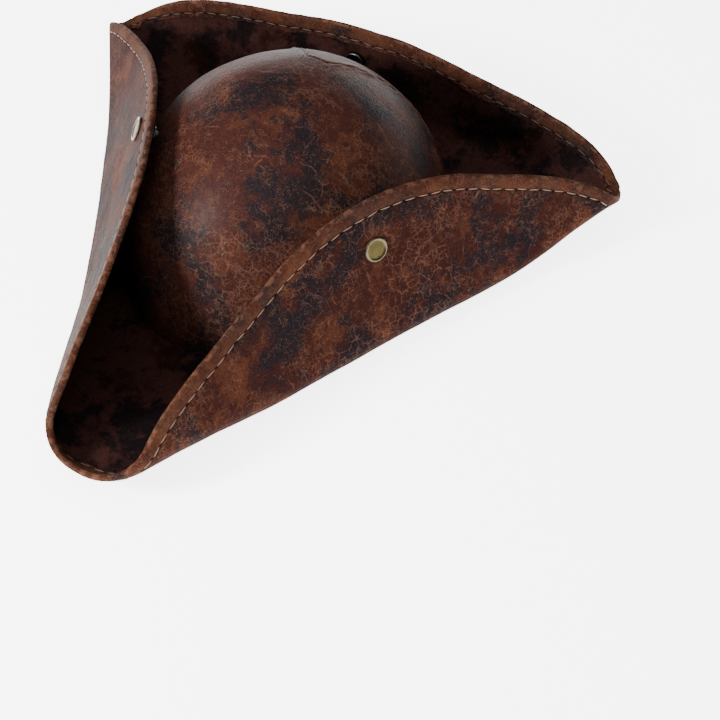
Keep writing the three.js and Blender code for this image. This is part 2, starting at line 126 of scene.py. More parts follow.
def lift(p):
    """Height of the leather floor: as the solids, with a deeper trough behind the front point."""
    drop = NOSE_DROP * smooth((-p.y - NOSE_DROP_FROM) / NOSE_DROP_OVER)
    return cad_lift(p) * (1 - drop)


def opening_point(toward):
    """Point of the brim's inner edge in the direction of a plan point."""
    direction = toward - Vector((0, CROWN_Y))
    angle = math.atan2(direction.y, direction.x)
    a, b = CROWN_A - OPENING_INSET, CROWN_B - OPENING_INSET
    reach = 1 / math.hypot(math.cos(angle) / a, math.sin(angle) / b)
    return Vector((math.cos(angle), math.sin(angle))) * reach + Vector((0, CROWN_Y))


class Flap:
    """One side of the brim: a fold between two points and the leather that stands up from it.

    Depth, bow and the snap's distance from the rim are in millimetres, bend is in degrees, and ends are the
    two powers by which the depth runs out towards the points."""

    def __init__(self, name, start, end, depth, ends, bend, bow, snap):
        self.name = name
        self.body = name + "_flap"
        self.tips = (start, end)
        self.depth = depth * MM
        self.ends = ends
        self.bend = math.radians(bend)
        self.bow = bow * MM
        self.snap_u = snap[0]
        self.snap_from_rim = snap[1] * MM
        self.middle = (start.point + end.point) / 2
        self.half = (end.point - start.point) / 2
        along = self.half.normalized()
        self.out = Vector((along.y, -along.x))
        if self.out.dot(self.middle) < 0:
            self.out.negate()

    def plain_depth(self, u):
        """Depth of the flap over the bend at u = -1..1 along the fold, as the solids have it."""
        a, b = self.ends
        peak = (a - b) / (a + b)
        rise = max((1 + u) / (1 + peak), 0) ** a
        return self.depth * rise * max((1 - u) / (1 - peak), 0) ** b

    def corner(self, u):
        """Base and outward direction of the fold, turned along an arc at each point of the brim."""
        near = 0 if u < 0 else 1
        tip = self.tips[near]
        along = self.half.normalized() * (1 if near == 0 else -1)
        reach = (1 - abs(u)) * self.half.length
        other = bisector_partner(self, tip)
        inward = (along + other).normalized()
        ray = -inward
        beta = math.acos(min(max(along.dot(inward), -1), 1))
        tangent = tip.rounding / math.tan(beta)
        bow = self.out * self.bow * (1 - u * u)
        if reach >= tangent:
            return tip.point + along * reach + bow, self.out, tip, reach
        side = (self.out - ray * self.out.dot(ray)).normalized()
        angle = reach / tangent * (math.pi / 2 - beta)
        out = ray * math.cos(angle) + side * math.sin(angle)
        centre = tip.point - ray * tip.rounding / math.sin(beta)
        return centre + out * tip.rounding + bow, out, tip, reach

    def fold_at(self, u):
        """Everything that shapes one cross-section of the brim."""
        base, out, tip, reach = self.corner(u)
        from_nose = (base - FRONT.point).length
        radius = FOLD_RADIUS + (NOSE_RADIUS - FOLD_RADIUS) * math.exp(-((from_nose / NOSE_REACH) ** 2))
        curl = tip.curl * (1 - smooth(reach / tip.blend))
        lowered = (cad_lift(base) - lift(base)) * smooth(reach / COMPENSATE_OVER)
        depth = math.hypot(self.plain_depth(u), curl) + lowered + rim_wave(base)
        return Fold(base, radius, out, self.bend, depth, opening_point(base))

    def snap_seat(self):
        """Place of the snap and the direction of its axis, which points at the crown."""
        fold = self.fold_at(self.snap_u)
        distance = fold.depth - self.snap_from_rim
        origin = brim_point(fold, distance, 0)
        return origin, (brim_point(fold, distance, MM) - origin).normalized()


def bisector_partner(flap, tip):
    """Direction in which the other flap's fold leaves a point of the brim."""
    for other in FLAPS.values():
        if other is flap or tip not in other.tips:
            continue
        return other.half.normalized() * (1 if other.tips[0] is tip else -1)
    raise ValueError(f"the point at {tip.point} belongs to one flap only")


def brim_point(fold, d, s):
    """Point d over the fold (negative on the floor), s from the middle layer towards the crown."""
    if d < 0:
        floor = (fold.inner - fold.base).length
        p = fold.base.lerp(fold.inner, -d / floor)
        return Vector((p.x, p.y, MID_Z + lift(p) + s))
    angle = min(d / fold.radius, fold.bend)
    rest = max(d - fold.radius * fold.bend, 0)
    reach = fold.radius * math.sin(angle) + rest * math.cos(fold.bend) - s * math.sin(angle)
    rise = fold.radius * (1 - math.cos(angle)) + rest * math.sin(fold.bend) + s * math.cos(angle)
    p = fold.base + fold.out * reach
    return Vector((p.x, p.y, MID_Z + lift(fold.base) + rise))


SIDES = (
    Flap("left", FRONT, BACK_LEFT, 99, ends=(1.09, 0.94), bend=110.5, bow=-5, snap=(0.073, 27.5)),
    Flap("right", FRONT, BACK_RIGHT, 112, ends=(1.02, 1.03), bend=114.5, bow=-5, snap=(0.086, 21)),
    Flap("back", BACK_RIGHT, BACK_LEFT, 60, ends=(0.77, 0.77), bend=81, bow=6, snap=(-0.1, 22)),
)
FLAPS = {side.name: side for side in SIDES}
SHIFT = part_shift()
ROOT = "crown_and_brim"


def ripple(p):
    """Slight unevenness of stiffened leather at a point, along its surface normal."""
    return 0.55 * MM * noise.noise(p * 22) + 0.2 * MM * noise.noise(p * 70)


def brim_ripple(fold, d):
    """The ripple of the brim's layers, which never sink below the plane they rest on."""
    p = brim_point(fold, d, 0)
    return max(ripple(p), MID_Z - p.z)


def rim_wave(base):
    """How far the hand-turned rim wanders from its even line."""
    return 0.55 * MM * noise.noise(base.to_3d() * 45) + 0.3 * MM * noise.noise(base.to_3d() * 140)


# ---------------------------------------------------------------- the crown's shape
CROWN_FOOT = 3.0 * MM / CROWN_H     # share of the crown's height where its leather starts
SEAM_GAP = 0.004                    # share of the height between the seam and each leather's edge
WELT_INSET = 2.4 * MM               # the cord's middle, inside the crown's outer face
LINING_INSET = 2.9 * MM
LINING_THICKNESS = 0.5 * MM
SWEATBAND_INSET = 5.4 * MM
SWEATBAND_FOOT = 1.0 * MM
SWEATBAND_THICKNESS = 1.0 * MM
SEAM_PUFF = 2.0 * MM                # how far the gathered leather swells beside the seam
SEAM_PUFF_REACH = 4.4 * MM
SEAM_ROLL = 3.0 * MM                # how deep its edge rolls in
SEAM_ROLL_REACH = 1.1 * MM


def crown_point(theta, rise, inset):
    """Point of the crown at angle theta, counted from the wearer's left over the back.

    rise is the share of the crown's height and inset the depth below its outer face."""
    m = 2.05 - 0.25 * smooth(math.sin(theta))
    level = min(max(rise, 0), 1)
    spread = (1 - level**m) ** (1 / m)
    c, s = math.cos(theta), math.sin(theta)
    tilt = (c / CROWN_A * spread ** (m - 1), s / CROWN_B * spread ** (m - 1), level ** (m - 1) / CROWN_H)
    p = Vector((CROWN_A * c * spread, CROWN_Y + CROWN_B * s * spread, level * CROWN_H))
    return p - Vector(tilt).normalized() * inset


def rise_at(t, foot):
    """Even steps over the dome for a share t of the way from the foot to the top."""
    low = math.asin(foot)
    return math.sin(low + (math.pi / 2 - low) * t)


def seam_rise(theta):
    """Height of the crown's seam: high round the back, falling past each side."""
    turn = theta - math.pi / 2
    from_back = math.degrees(abs(math.atan2(math.sin(turn), math.cos(turn))))
    return 0.9 - 0.46 * smooth((from_back - 8) / 44) - 0.5 * smooth((from_back - 48) / 84)


# ---------------------------------------------------------------- sizes and colours that a user may change
def length(name, description, millimetres):
    """A length property with its default in millimetres."""
    return FloatProperty(
        name=name, description=description, default=millimetres * MM, unit="LENGTH", precision=5
    )


def colour(name, description, value):
    """A linear colour property."""
    return FloatVectorProperty(
        name=name, description=description, default=value, subtype="COLOR", min=0, max=1
    )


def amount(name, description, value):
    """A property for a number that is never negative."""
    return FloatProperty(name=name, description=description, default=value, min=0)


class HatSizes(bpy.types.PropertyGroup):
    """Sizes of the leather work."""

    leather: length("Leather", "Thickness of one layer of leather", 0.8)
    stiffener: length("Stiffener", "Thickness of the board between the brim's leathers", 0.6)
    hem: length("Hem", "Width of the leather turned over the rim", 10.5)
    rim_radius: length("Rim radius", "Roundness of the rim over its wire", 1.35)
    stitch_line: length("Stitch line", "Distance of the stitches from the rim", 8)
    stitch_pitch: length("Stitch pitch", "Distance from one stitch to the next", 8)
    stitch_length: length("Stitch length", "Length of a stitch that shows", 6.2)
    thread: length("Thread", "Thickness of the thread", 0.7)
    welt: length("Welt", "Radius of the cord in the crown's seam", 0.9)
    sweatband: length("Sweatband", "Height of the band inside the crown", 28)
    columns: IntProperty(
        name="Columns", description="Mesh columns along one flap", default=230, min=40, max=400
    )


class HatColours(bpy.types.PropertyGroup):
    """Colours of the leather, thread and metal."""

    mahogany: colour("Mahogany", "Main red-brown of the leather", (0.0225, 0.0078, 0.0064))
    slate: colour("Slate", "Dark blotches", (0.0064, 0.0068, 0.0090))
    rust: colour("Rust", "Orange patches", (0.047, 0.0165, 0.0094))
    vein: colour("Vein", "Fine crackle lines", (0.155, 0.074, 0.046))
    tan: colour("Tan", "Leather worn along its edges", (0.074, 0.0295, 0.0158))
    # The leather pressed in under the stitches, painted near black as the shade that falls in the groove.
    shaded_groove: colour("Groove", "Leather pressed in under the stitches", (0.003, 0.002, 0.002))
    # Inside: the mahogany leather painted darker for the brim's inner faces, as painted shade; the leather
    # is the same on both faces.
    inside: colour("Inside", "Leather on the inner face of the brim", (0.0235, 0.0098, 0.0086))
    sheen: colour("Sheen", "Tint of the leather's shine", (0.90, 0.95, 1.0))
    thread: colour("Thread", "Topstitching", (0.17, 0.092, 0.050))
    brass: colour("Brass", "Antiqued caps of the snaps", (0.055, 0.043, 0.015))
    worn_brass: colour("Worn brass", "Rubbed rims of the caps", (0.095, 0.078, 0.045))
    nickel: colour("Nickel", "Sockets and studs of the snaps", (0.060, 0.059, 0.057))
    board: colour("Board", "Stiffening board inside the brim", (0.015, 0.015, 0.016))
    lining: colour("Lining", "Woven lining of the crown", (0.012, 0.011, 0.0105))
    sweatband: colour("Sweatband", "Leather of the band inside the crown", (0.028, 0.017, 0.011))
    sewing: colour("Sewing", "Thread that holds the sweatband", (0.04, 0.03, 0.025))
    floor: colour("Floor", "Pale floor", (0.93, 0.93, 0.93))


class HatStage(bpy.types.PropertyGroup):
    """Camera and lights."""

    azimuth: FloatProperty(name="Azimuth", description="Camera's angle from the front", default=27.45)
    elevation: FloatProperty(name="Elevation", description="Camera's angle over the floor", default=49.7)
    distance: length("Distance", "Camera's distance from the hat's origin", 1094)
    lens: FloatProperty(name="Lens", description="Focal length in millimetres", default=96.2, min=1)
    aim_right: length("Aim right", "Camera's sideways distance from the hat's origin", 43.1)
    aim_down: length("Aim down", "Camera's downward distance from the hat's origin", 70.7)
    key: amount("Key light", "Power of the side light in watts", 34)
    top: amount("Top light", "Power of the overhead light in watts", 21)
    sky: amount("Sky", "Strength of the even light from all sides", 0.34)
    glow: amount("Floor glow", "Light of the back-lit floor itself", 4.8)


def settings():
    """The scene's three groups of properties."""
    scene = bpy.context.scene
    return scene.hat_sizes, scene.hat_colours, scene.hat_stage


# ---------------------------------------------------------------- shader helpers
class Link:
    """A shader socket. Python arithmetic on it adds Math nodes."""

    def __init__(self, finish, socket):
        self.finish = finish
        self.socket = socket

    def _math(self, operation, *values):
        inputs = dict(enumerate(values))
        return self.finish.node("ShaderNodeMath", {"operation": operation}, inputs)

    def __add__(self, other):
        return self._math("ADD", self, other)

    def __radd__(self, other):
        return self._math("ADD", other, self)

    def __sub__(self, other):
        return self._math("SUBTRACT", self, other)

    def __rsub__(self, other):
        return self._math("SUBTRACT", other, self)

    def __mul__(self, other):
        return self._math("MULTIPLY", self, other)

    def __rmul__(self, other):
        return self._math("MULTIPLY", other, self)

    def __abs__(self):
        return self._math("ABSOLUTE", self)


class Finish:
    """A node material that is built up in Python."""

    def __init__(self, name):
        self.material = bpy.data.materials.new(name)
        self.material.use_nodes = True
        self.tree = self.material.node_tree
        self.surface = self.tree.nodes["Principled BSDF"]
        self.place = self.node("ShaderNodeTexCoord", output="Object")

    def node(self, kind, setting=None, inputs=None, output=0):
        """Adds a node: its settings first, then the values or links of its sockets."""
        made = self.tree.nodes.new(kind)
        for key, value in (setting or {}).items():
            setattr(made, key, value)
        for key, value in (inputs or {}).items():
            self.feed(made.inputs[key], value)
        return Link(self, made.outputs[output])

    def feed(self, socket, value):
        """Links a socket, or sets its value."""
        if isinstance(value, Link):
            self.tree.links.new(value.socket, socket)
        elif socket.type == "RGBA":
            socket.default_value = (*value, 1)
        else:
            socket.default_value = value

    def set(self, **values):
        """Feeds the Principled surface; underscores stand for spaces."""
        for key, value in values.items():
            self.feed(self.surface.inputs[key.replace("_", " ")], value)

    def noise(self, scale, detail=4.0, roughness=0.55, place=None, offset=0.0):
        """Fractal noise from 0 to 1 on the object's own coordinates."""
        place = place or self.place
        if offset:
            moved = (offset, offset * 0.7, -offset)
            place = self.node("ShaderNodeVectorMath", {"operation": "ADD"}, {0: place, 1: moved})
        inputs = {"Vector": place, "Scale": scale, "Detail": detail, "Roughness": roughness}
        return self.node("ShaderNodeTexNoise", None, inputs)

    def step(self, value, low, high):
        """0 below low, 1 above high, smooth between."""
        return self.node(
            "ShaderNodeMapRange",
            {"interpolation_type": "SMOOTHSTEP", "clamp": True},
            {"Value": value, "From Min": low, "From Max": high},
        )

    def mix(self, share, a, b, blend="MIX"):
        """Colour a turned into b by share. Sockets 6, 7 and 2 are the node's colours A, B and Result."""
        return self.node(
            "ShaderNodeMix",
            {"data_type": "RGBA", "blend_type": blend, "clamp_factor": True},
            {"Factor": share, 6: a, 7: b},
            output=2,
        )

    def cracks(self, scale, width, place):
        """1 on the edges between cells, 0 inside them."""
        inputs = {"Vector": place, "Scale": scale}
        edges = self.node("ShaderNodeTexVoronoi", {"feature": "DISTANCE_TO_EDGE"}, inputs)
        return 1 - self.step(edges, width * 0.2, width)

    def warped(self, scale, reach):
        """The object's coordinates, shaken by noise so that cell edges wander."""
        inputs = {"Vector": self.place, "Scale": scale, "Detail": 3.0}
        shake = self.node("ShaderNodeTexNoise", None, inputs, output="Color")
        middle = (0.5, 0.5, 0.5)
        centred = self.node("ShaderNodeVectorMath", {"operation": "SUBTRACT"}, {0: shake, 1: middle})
        scaled = self.node("ShaderNodeVectorMath", {"operation": "SCALE"}, {0: centred, "Scale": reach})
        return self.node("ShaderNodeVectorMath", {"operation": "ADD"}, {0: self.place, 1: scaled})

    def larger(self, a, b):
        """The larger of two values."""
        return self.node("ShaderNodeMath", {"operation": "MAXIMUM"}, {0: a, 1: b})

    def bump(self, height, strength, distance):
        """Feeds the surface's normal from a height."""
        inputs = {"Height": height, "Strength": strength, "Distance": distance}
        self.set(Normal=self.node("ShaderNodeBump", None, inputs))


def distressed_leather(name, ground, light=1.0, band=9 * MM, stitched=True, polish=0.0):
    """Faux leather: blotched ground, crackle veins, scratches, worn edges, a painted highlight in specks
    along the very edge, and fine grain.

    light scales the veins and patches; below 1 it dims them as painted shade, above 1 it brightens them as
    painted light. band is the width that is worn along an edge, and polish is the strength of the shine on
    the front of the piece."""
    sizes, colours, _ = settings()
    leather = Finish(name)
    wander = leather.warped(60, 0.012)
    tangle = leather.warped(210, 0.0036)
    blots = leather.noise(30, 6, 0.62, wander)
    patches = leather.noise(38, 5, 0.62, wander, 3.1)
    mottle = leather.noise(150, 5, 0.68, None, 1.7)
    slate = leather.step(blots + 0.3 * (mottle - 0.5), 0.48, 0.585)
    rust = leather.step(patches + 0.35 * (mottle - 0.5), 0.49, 0.63)
    base = leather.mix(rust * 0.8, ground, [share * light for share in colours.rust])
    base = leather.mix(slate * 0.86, base, [share * (0.3 + 0.7 * light) for share in colours.slate])
    veins = leather_veins(leather, wander, tangle)
    base = leather.mix(veins * 0.44 * light, base, colours.vein)
    specks = leather.step(leather.noise(1150, 2, 0.6), 0.53, 0.70) * leather.step(mottle, 0.36, 0.62)
    base = leather.mix(specks * 0.34 * light, base, colours.vein)
    tint = leather.mix(leather.noise(620, 3), (0.55, 0.53, 0.53), (1.5, 1.45, 1.42))
    base = leather.mix(1.0, base, tint, "MULTIPLY")
    edge = leather.node("ShaderNodeAttribute", {"attribute_name": "edge_distance"}, output="Fac")
    rubbed = 1 - leather.step(edge, band * 0.6, band)
    rubbed = rubbed * leather.step(leather.noise(75, 5, 0.66), 0.30, 0.62)
    dusty = 0.55 + 0.45 * leather.step(leather.noise(800, 3), 0.4, 0.6)
    base = leather.mix(rubbed * dusty * 0.66, base, colours.tan)
    # Vein-coloured specks within 1.6 mm of the edge are a painted highlight on the rim's crest; the cord,
    # which has no edge distance, gets them all over.
    rim = 1 - leather.step(edge, 0.5 * MM, 1.6 * MM)
    base = leather.mix(rim * leather.step(leather.noise(260, 3), 0.48, 0.62) * 0.4, base, colours.vein)
    height = leather_grain(leather, tangle) + 0.9 * mottle - 0.9 * veins
    if stitched:
        # The stitch groove: pressed in through the bump and painted near black, which is painted shade in
        # the groove.
        shaded_groove = 1 - leather.step(abs(edge - sizes.stitch_line), 0.3 * MM, 1.1 * MM)
        base = leather.mix(shaded_groove * 0.7, base, colours.shaded_groove)
        height = height - shaded_groove * 1.2
    leather.set(Base_Color=base, Roughness=0.30 + 0.2 * leather.noise(90, 4, 0.6) + 0.15 * veins)
    leather.set(Specular_IOR_Level=0.002 + 0.18 * polish)
    if polish:
        forward = leather.node("ShaderNodeSeparateXYZ", None, {0: leather.place}, output="Y")
        grit = 0.45 + 0.9 * leather.step(leather.noise(900, 3, 0.6), 0.38, 0.66)
        shine = polish * grit * (1 - leather.step(forward, -0.07, 0.03))
        leather.set(Coat_Weight=shine, Coat_Roughness=0.36, Coat_Tint=colours.sheen)
    leather.bump(height, 0.5, 0.00045)
    return leather.material


def leather_veins(leather, wander, tangle):
    """Broken webs of fine cracks, wandering creases and a few scratches, as one strength."""
    coarse_patches = leather.step(leather.noise(26, 3, 0.5, None, 5.3), 0.46, 0.6)
    fine_patches = leather.step(leather.noise(34, 3, 0.5, None, 8.9), 0.44, 0.58)
    coarse = leather.cracks(150, 0.05, tangle) * coarse_patches
    fine = leather.cracks(350, 0.085, tangle) * fine_patches
    crease = 1 - leather.step(abs(leather.noise(42, 7, 0.66, wander, 6.1) - 0.5), 0.001, 0.008)
    webs = leather.larger(leather.larger(coarse * 0.9, fine * 0.75), crease * 0.7)
    broken = webs * leather.step(leather.noise(190, 3, 0.6), 0.38, 0.56)
    scratches = scratched(leather, wander, 0.5) + scratched(leather, wander, 1.9)
    return leather.larger(broken, scratches * 0.5)


def scratched(leather, wander, turn):
    """A few long thin scratches in one direction."""
    inputs = {"Vector": wander, "Rotation": (0.3, turn * 0.4, turn), "Scale": (9.0, 420.0, 50.0)}
    turned = leather.node("ShaderNodeMapping", None, inputs)
    return leather.step(leather.noise(1.6, 1, 0.4, turned), 0.72, 0.77)


def leather_grain(leather, tangle):
    """Height of the embossed pebbles."""
    pebbles = leather.node("ShaderNodeTexVoronoi", {"feature": "F1"}, {"Vector": tangle, "Scale": 700.0})
    return 0.8 * pebbles + 0.5 * leather.noise(1600, 3)


def plain_finish(name, value, roughness, metallic=0.0, scale=300.0, relief=0.15):
    """A lightly mottled finish for the small pieces."""
    plain = Finish(name)
    mottle = plain.noise(scale, 4)
    tint = plain.mix(mottle, (0.7, 0.7, 0.7), (1.25, 1.25, 1.25))
    plain.set(Base_Color=plain.mix(1.0, value, tint, "MULTIPLY"), Metallic=metallic)
    plain.set(Roughness=roughness - 0.1 + 0.2 * plain.noise(scale * 0.4, 3))
    plain.bump(mottle, relief, 0.0003)
    return plain.material


def brass_finish(name, value, rubbed):
    """Brass with dark antiquing in its hollow and bright rubbed edges."""
    brass = Finish(name)
    rim = brass.node("ShaderNodeAttribute", {"attribute_name": "edge_distance"}, output="Fac")
    worn = 1 - brass.step(rim, 1.0 * MM, 1.6 * MM)
    pitted = brass.step(brass.noise(900, 4, 0.65), 0.4, 0.75)
    base = brass.mix(pitted * 0.55, value, [c * 0.45 for c in value])
    base = brass.mix(worn * 0.85, base, rubbed)
    brass.set(Base_Color=base, Metallic=1.0, Roughness=0.42 - 0.14 * worn + 0.15 * pitted)
    brass.bump(brass.noise(700, 3), 0.2, 0.0002)
    return brass.material


def woven_finish(name, value):
    """Plain-woven cotton, painted darker in the hollows between threads and lighter on the raised threads:
    painted shade and light that follow its bump.
    """
    weave = Finish(name)
    threads = []
    for direction in "XY":
        setting = {"wave_type": "BANDS", "bands_direction": direction}
        threads.append(weave.node("ShaderNodeTexWave", setting, {"Vector": weave.place, "Scale": 420.0}))
    cloth = threads[0] * threads[1]
    # hollow and raised are painted shade and painted light on the weave.
    hollow = [c * 0.6 for c in value]
    raised = [c * 1.6 for c in value]
    weave.set(Base_Color=weave.mix(cloth, hollow, raised), Roughness=0.92)
    weave.bump(cloth, 0.4, 0.0003)
    return weave.material


# ---------------------------------------------------------------- mesh helpers
def add_piece(name, bm, material, body=None):
    """Makes a mesh object from bm at the part's origin and gives it its finish and body."""
    mesh = bpy.data.meshes.new(name)
    for face in bm.faces:
        face.smooth = True
    bmesh.ops.translate(bm, verts=bm.verts, vec=SHIFT)
    bm.to_mesh(mesh)
    bm.free()
    piece = bpy.data.objects.new(name, mesh)
    bpy.context.collection.objects.link(piece)
    mesh.materials.append(material)
    if body:
        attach(piece, body)
    return piece


def thicken(piece, thickness):
    """Gives a sheet its thickness and applies it."""
    wall = piece.modifiers.new("Thickness", "SOLIDIFY")
    wall.thickness = thickness
    wall.offset = 0
    graph = bpy.context.evaluated_depsgraph_get()
    shown = piece.evaluated_get(graph)
    thick = bpy.data.meshes.new_from_object(shown, preserve_all_data_layers=True, depsgraph=graph)
    thick.name = piece.name
    thick.set_sharp_from_angle(angle=math.radians(55))
    piece.modifiers.clear()
    piece.data = thick


def sheet_mesh(rows, columns, place):
    """A grid that place(share along, row) puts in shape.

    place gives each point's position and its distance from the sheet's edge."""
    bm = bmesh.new()
    last = len(rows) - 1
    bmesh.ops.create_grid(bm, x_segments=columns, y_segments=last, size=1)
    edge = bm.verts.layers.float.new("edge_distance")
    for vert in bm.verts:
        along = round((vert.co.x + 1) / 2 * columns) / columns
        row = rows[round((vert.co.y + 1) / 2 * last)]
        vert.co, vert[edge] = place(along, row)
    bmesh.ops.remove_doubles(bm, verts=bm.verts, dist=1e-6)
    bmesh.ops.recalc_face_normals(bm, faces=bm.faces)
    return bm


def spaced(count, power=1.0):
    """count + 1 shares from 0 to 1, closer together near 0 as power grows."""
    return [(i / count) ** power for i in range(count + 1)]


def turned_mesh(profile, origin, axis, steps=48, rim=0.0):
    """A body of revolution from (radius, height) pairs in millimetres, its heights along axis.

    rim is the radius from which the edge distance of its points is counted."""
    bm = bmesh.new()
    verts = [bm.verts.new((r * MM, 0, h * MM)) for r, h in profile]
    edges = [bm.edges.new(pair) for pair in zip(verts, verts[1:])]
    bmesh.ops.spin(
        bm,
        geom=verts + edges,
        cent=(0, 0, 0),
        axis=(0, 0, 1),
        angle=2 * math.pi,
        steps=steps,
        use_merge=True,
    )
    bmesh.ops.remove_doubles(bm, verts=bm.verts, dist=1e-6)
    bmesh.ops.recalc_face_normals(bm, faces=bm.faces)
    edge = bm.verts.layers.float.new("edge_distance")
    for vert in bm.verts:
        vert[edge] = abs(rim - math.hypot(vert.co.x, vert.co.y))
    turn = Vector((0, 0, 1)).rotation_difference(axis).to_matrix().to_4x4()
    bmesh.ops.transform(bm, matrix=Matrix.Translation(origin) @ turn, verts=bm.verts)
    return bm


def arc(radius, centre, start, end, count):
    """Points of an arc in a profile, angles in degrees."""
    points = []
    for i in range(count + 1):
        angle = math.radians(start + (end - start) * i / count)
        points.append((centre[0] + radius * math.cos(angle), centre[1] + radius * math.sin(angle)))
    return points


def stitch_mesh(line, sizes):
    """One small rounded stitch at every pitch along line, a list of (point, surface normal) pairs."""
    bm = bmesh.new()
    travelled = sizes.stitch_pitch / 2
    count = 0
    for (p, up), (q, _) in zip(line, line[1:]):
        travelled += (q - p).length
        if travelled < sizes.stitch_pitch:
            continue
        travelled -= sizes.stitch_pitch
        count += 1
        along = (q - p).normalized()
        side = up.cross(along).normalized()
        lean = 0.07 * math.sin(count * 2.4)
        along = (along + side * lean).normalized()
        half = sizes.thread / 2
        shape = Matrix((side * half, up * half, along * sizes.stitch_length / 2)).transposed().to_4x4()
        bmesh.ops.create_uvsphere(
            bm, u_segments=8, v_segments=7, radius=1, matrix=Matrix.Translation(q) @ shape
        )
    bmesh.ops.recalc_face_normals(bm, faces=bm.faces)
    return bm


def tube_mesh(line, radius, sides):
    """A closed tube along line, a list of points."""
    bm = bmesh.new()
    rings = []
    for i, p in enumerate(line):
        tangent = (line[min(i + 1, len(line) - 1)] - line[max(i - 1, 0)]).normalized()
        turn = tangent.to_track_quat("Z", "Y").to_matrix().to_4x4()
        placed = Matrix.Translation(p) @ turn
        made = bmesh.ops.create_circle(bm, cap_ends=False, segments=sides, radius=radius, matrix=placed)
        rings.append(made["verts"])
    for low, high in zip(rings, rings[1:]):
        edges = [e for e in bm.edges if e.verts[0] in low and e.verts[1] in low]
        edges += [e for e in bm.edges if e.verts[0] in high and e.verts[1] in high]
        bmesh.ops.bridge_loops(bm, edges=edges)
    bmesh.ops.holes_fill(bm, edges=[e for e in bm.edges if e.is_boundary], sides=sides)
    bmesh.ops.recalc_face_normals(bm, faces=bm.faces)
    return bm


def bend_with(piece):
    """Bakes a piece of the brim's transform into its mesh."""
    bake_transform(piece)


def brim_sheet(flap, rows, columns):
    """A layer of one side of the brim, from rows at a height s over its middle layer.

    A row ("span", share, s, stop) lies at a share of the way from the head opening to stop short of the rim.
    A row ("hem", from the rim, s) keeps its distance from the rim."""
    folds = [flap.fold_at(-1 + 2 * i / columns) for i in range(columns + 1)]

    def place(along, row):
        fold = folds[round(along * columns)]
        if row[0] == "span":
            _, share, s, stop = row
            floor = (fold.inner - fold.base).length
            d = -floor + share * (floor + fold.depth - stop)
        else:
            _, from_rim, s = row
            cut_edge = smooth((from_rim - 8.5 * MM) / (2 * MM)) * smooth(s / MM)
            from_rim += cut_edge * 2.2 * MM * noise.noise(fold.base.to_3d() * 90)
            d = fold.depth - from_rim
        s += brim_ripple(fold, d)
        return brim_point(fold, d, s), fold.depth - d

    return sheet_mesh(rows, columns, place)


def outer_rows(sizes):
    """Rows of the outer leather: inner edge to stitch line, over the rim, and down the turned hem."""
    span_end = 12 * MM
    r = sizes.rim_radius
    middle = 0.35 * MM
    rows = [("span", share, -1.0 * MM, span_end) for share in spaced(58)[:-1]]
    outside = [(12, -1.0), (10, -1.0), (9, -0.98), (8.4, -0.88)]
    outside += [(8, -0.76), (7.6, -0.88), (7, -1.05), (5, -1.15)]
    rows += [("hem", d * MM, s * MM) for d, s in outside]
    rows.append(("hem", 3 * MM, middle - r * 1.07))
    rows += [("hem", r - x * MM, middle + y * MM) for x, y in arc(r / MM, (0, 0), -90, 90, 8)]
    inside = [(3, 1.78), (5, 1.8), (7, 1.72), (7.6, 1.6), (8, 1.5), (8.4, 1.6), (9.2, 1.7)]
    rows += [("hem", d * MM, s * MM) for d, s in inside]
    rows.append(("hem", sizes.hem, 1.66 * MM))
    return rows


def stitch_line(flap, s, sizes, inner=False):
    """Points and normals along a flap's stitch line, on the outer or the inner face."""
    line = []
    for i in range(LINE_STEPS + 1):
        fold = flap.fold_at(-1 + 2 * i / LINE_STEPS)
        d = fold.depth - sizes.stitch_line
        p = brim_point(fold, d, s + brim_ripple(fold, d))
        normal = (brim_point(fold, d, s + MM) - brim_point(fold, d, s)).normalized()
        line.append((p, normal if inner else -normal))
    return line


class HAT_OT_brim(bpy.types.Operator):
    """Makes the brim: outer leather turned over the rim, stiffener and inner leather, for each side"""

    bl_idname = "hat.brim"
    bl_label = "Brim"

    def execute(self, context):
        sizes, colours, _ = settings()
        outer = distressed_leather("outer_leather", colours.mahogany)
        # The inner leather is a shaded copy of the outer: the Inside colour, and light=0.16 which mutes its
        # patches and veins, are painted shade.
        inner = distressed_leather("inner_leather", colours.inside, 0.16, 4 * MM, stitched=False)
        board = plain_finish("stiffening_board", colours.board, 0.95)
        for name, flap in FLAPS.items():
            self.make_outer(name, flap, outer, sizes)
            self.make_layer(f"brim_inner_leather_{name}", flap, 0.9, sizes.leather, inner, "inner_leather")
            self.make_layer(f"brim_stiffener_{name}", flap, 0.0, sizes.stiffener, board, "stiffening")
        return {"FINISHED"}

    def make_outer(self, name, flap, material, sizes):
        """Outer leather of one side, with its turned hem."""
        bm = brim_sheet(flap, outer_rows(sizes), sizes.columns)
        piece = add_piece(f"brim_leather_{name}", bm, material)
        thicken(piece, sizes.leather)
        nodes = [f"flap_{name}_outer_leather", f"brim_wire_{name}"]
        if name == "left":
            nodes.append("brim_outer_leather")
        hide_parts(*nodes)
        bend_with(piece)

    def make_layer(self, title, flap, s, thickness, material, slot):
        """A plain layer of one side, s millimetres from the middle layer."""
        rows = [("span", share, s * MM, 3.2 * MM) for share in spaced(48)]
        piece = add_piece(title, brim_sheet(flap, rows, 120), material)
        thicken(piece, thickness)
        layer = "stiffener" if slot == "stiffening" else slot
        nodes = [f"flap_{flap.name}_{layer}"]
        if flap.name == "left":
            nodes.append(f"brim_{layer}")
        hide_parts(*nodes)
        bend_with(piece)


